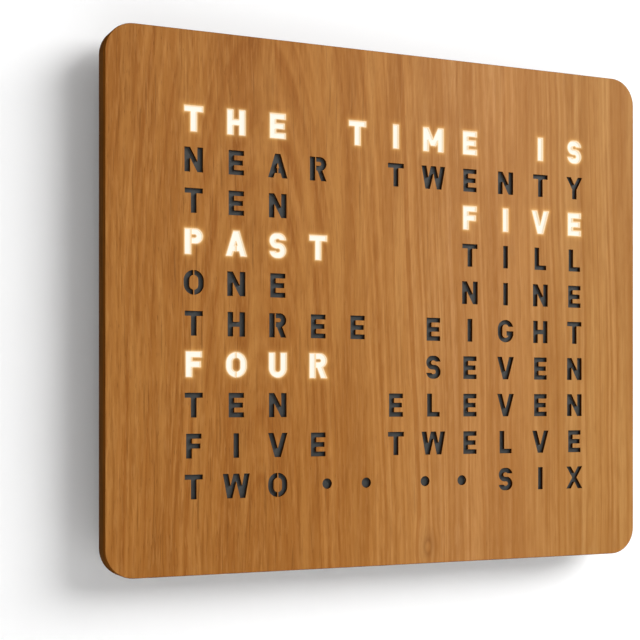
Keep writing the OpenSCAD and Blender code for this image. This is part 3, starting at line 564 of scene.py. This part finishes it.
def near_edges(points, edges):
    """The distance from each point to the nearest edge, in the plane of the front."""
    nearest = numpy.full(len(points), numpy.inf)
    for first, last in edges:
        along = last - first
        share = numpy.clip(((points - first) @ along) / (along @ along), 0, 1)
        foot = first + share[:, None] * along
        nearest = numpy.minimum(nearest, numpy.linalg.norm(points - foot, axis=1))
    return nearest


def build_front():
    """The veneered front. A fine net of faces round each lit letter carries a painted glow, which
    stands in for the spill of light.
    """
    bm = merged_copy("front_panel")
    painted_glow = bm.verts.layers.float.new("painted_glow")
    areas = [net_of_faces(bm, word) for word in LIT_WORDS]
    face_verts = [v for v in bm.verts if in_front(v)]
    rim = [e for e in bm.edges if on_front(e) and not all(on_front(f) for f in e.link_faces)]
    ends = [[numpy.array((v.co.x, v.co.z)) for v in e.verts] for e in rim]
    # Paints the glow of spilt light on the front, fading with the distance from the lit letters'
    # cuts
    for x0, x1, z0, z1 in areas:
        verts = [v for v in face_verts if x0 < v.co.x < x1 and z0 < v.co.z < z1]
        edges = [(a, b) for a, b in ends if x0 < a[0] < x1 and z0 < a[1] < z1]
        points = numpy.array([(v.co.x, v.co.z) for v in verts])
        for vert, distance in zip(verts, near_edges(points, edges)):
            vert[painted_glow] = math.exp(-distance / PAINTED_GLOW_REACH)
    outer = [e for e in rim if near_outline(e.verts[0].co)]
    bmesh.ops.bevel(
        bm, geom=outer, offset=EASED, segments=3, affect="EDGES", profile=0.5, material=-1
    )
    bm.normal_update()
    veneer, band, raw, burnt = range(4)
    for face in bm.faces:
        middle = face.calc_center_median()
        if face.normal.y < -VENEER_TURN:
            face.material_index = veneer
        elif near_outline(middle) and face.normal.y < INSIDE_TURN:
            face.material_index = band
        elif face.normal.y > INSIDE_TURN or middle.y > web_y:
            face.material_index = raw
        else:
            face.material_index = burnt
    materials = [
        oak_veneer(),
        # Stained oak band: darker than the veneer, so that it outlines the panel
        edge_wood("stained_oak_band", "#744212", "#5e320b", roughness=0.6),
        # Board as it was sawn: paler and dry, out of sight inside the case
        edge_wood("sawn_raw_board", "#8a6238", "#74502c", roughness=0.7),
        # Edges that the laser burnt as it cut: very dark brown, with a painted cream glow on them
        # in the lit words
        edge_wood("laser_burnt_edge", "#5a3110", "#351c09", roughness=0.6, lit=True),
    ]
    front = finished("veneered_front", bm, materials)
    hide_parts("front_panel")


def build_springs():
    """The button springs, each copied from its node onto a mesh of its own."""
    # Drawn spring steel: a cool grey shine along the wire
    steel = plated("drawn_spring_steel", "#b9bcc0", roughness=0.32)
    for joint in frame["joints"]:
        node = joint["name"].replace("_press", "_spring")
        spring = finished(node + "_coil", merged_copy(node), [steel])
        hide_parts(node)
        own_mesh(spring)


def dress_nodes():
    """Gives each carried-over node its finish."""
    # Zinc-plated steel: a cool grey shine, a little uneven
    zinc = plated("zinc_plated_steel", "#b9bcc0", roughness=0.32)
    # Moulded black ABS: deep, even and dull
    black = moulded("moulded_black_abs", "#1f2022")
    # Turned brass: warm yellow, and bright
    brass = plated("turned_brass", "#c9a84e", roughness=0.28)
    # Stained hardwood, sealed matt: dark brown, with a grain that only just shows
    case = edge_wood("stained_hardwood", "#603d1c", "#4c2e13", roughness=0.7)
    # Painted hardboard: nearly black, and quiet beside the case
    hardboard = pressed_board("painted_hardboard", "#332e2a", "#25211e")
    # Extruded PVC round the wires: an even red with a soft shine
    wire = moulded("extruded_red_pvc", "#b3261e", roughness=0.4)
    finishes = {
        "case_frame": case,
        "back_box": case,
        "diffuser_sheet": smoked_acrylic(),
        "back_panel": hardboard,
        "rear_cover": hardboard,
        "light_grid": black,
        # Polyimide strip with a printed white coat: clean white, with a soft shine
        "light_strips": moulded("coated_white_polyimide", "#f2f2ee", roughness=0.4),
        "strip_links": moulded("coated_white_link", "#e8e8e2", roughness=0.4),
        # Silicone cast over the light chips: cream, with a wet shine
        "light_chips": moulded("cast_cream_silicone", "#f7f3d8", roughness=0.3),
        # Glass-fibre boards with a printed solder mask: strong green and blue, and glossy
        "control_board": moulded("masked_green_fibreglass", "#1f5f3a", roughness=0.3),
        "clock_module": moulded("masked_blue_fibreglass", "#1d3f73", roughness=0.3),
        # Stamped and tinned steel: grey, and less bright than the screws
        "processor_module": plated("tinned_shield_steel", "#a4a8ab", roughness=0.35),
        # Shrunk PVC sleeve: black and glossy
        "buffer_capacitor": moulded("shrunk_black_pvc", "#22242a", roughness=0.3),
        # Moulded polyamide: the dull green of screw terminals, and undyed, a milky white
        "terminal_block": moulded("moulded_green_polyamide", "#2f7d4f"),
        "wire_header": moulded("moulded_white_polyamide", "#f0efe8"),
        # Rolled steel of the coin cell: the smoothest metal here
        "coin_cell": plated("rolled_cell_steel", "#c8cacc", roughness=0.25),
        "board_standoffs": brass,
        "inlet_pin": brass,
        # Moulded ABS caps: glossy, with a colour for each button
        "hour_button": moulded("moulded_red_abs", "#c8322a", roughness=0.3),
        "minute_button": moulded("moulded_dark_abs", "#26282b", roughness=0.3),
        "brightness_button": moulded("moulded_white_abs", "#e8e6df", roughness=0.3),
    }
    for name, obj in NODES.items():
        material = finishes.get(name, black)
        if name.endswith("_lead"):
            material = wire
        elif name.endswith(("_screws", "_nuts", "_nut", "_spring", "_plates")):
            material = zinc
        obj.data.materials.clear()
        obj.data.materials.append(material)


place_camera()
light_world()
# The key lamp stands in front to the right, and the back lamp lights the views from behind
place_lamp("key", turn=45, rise=24, away=3.0, size=(3.4, 1.8), power=110)
place_lamp("back", turn=180, rise=5, away=1.9, size=(1.8, 1.8), power=32)
stage_plane("wall", white_paint("painted_wall", one_sided=True), at=(0, WALL_GAP, 0), tilt=90)
stage_plane("floor", white_paint("painted_floor", one_sided=False), at=(0, 0, FLOOR_Z), tilt=0)
build_front()
build_springs()
dress_nodes()

bpy.context.scene.view_settings.view_transform = "Standard"
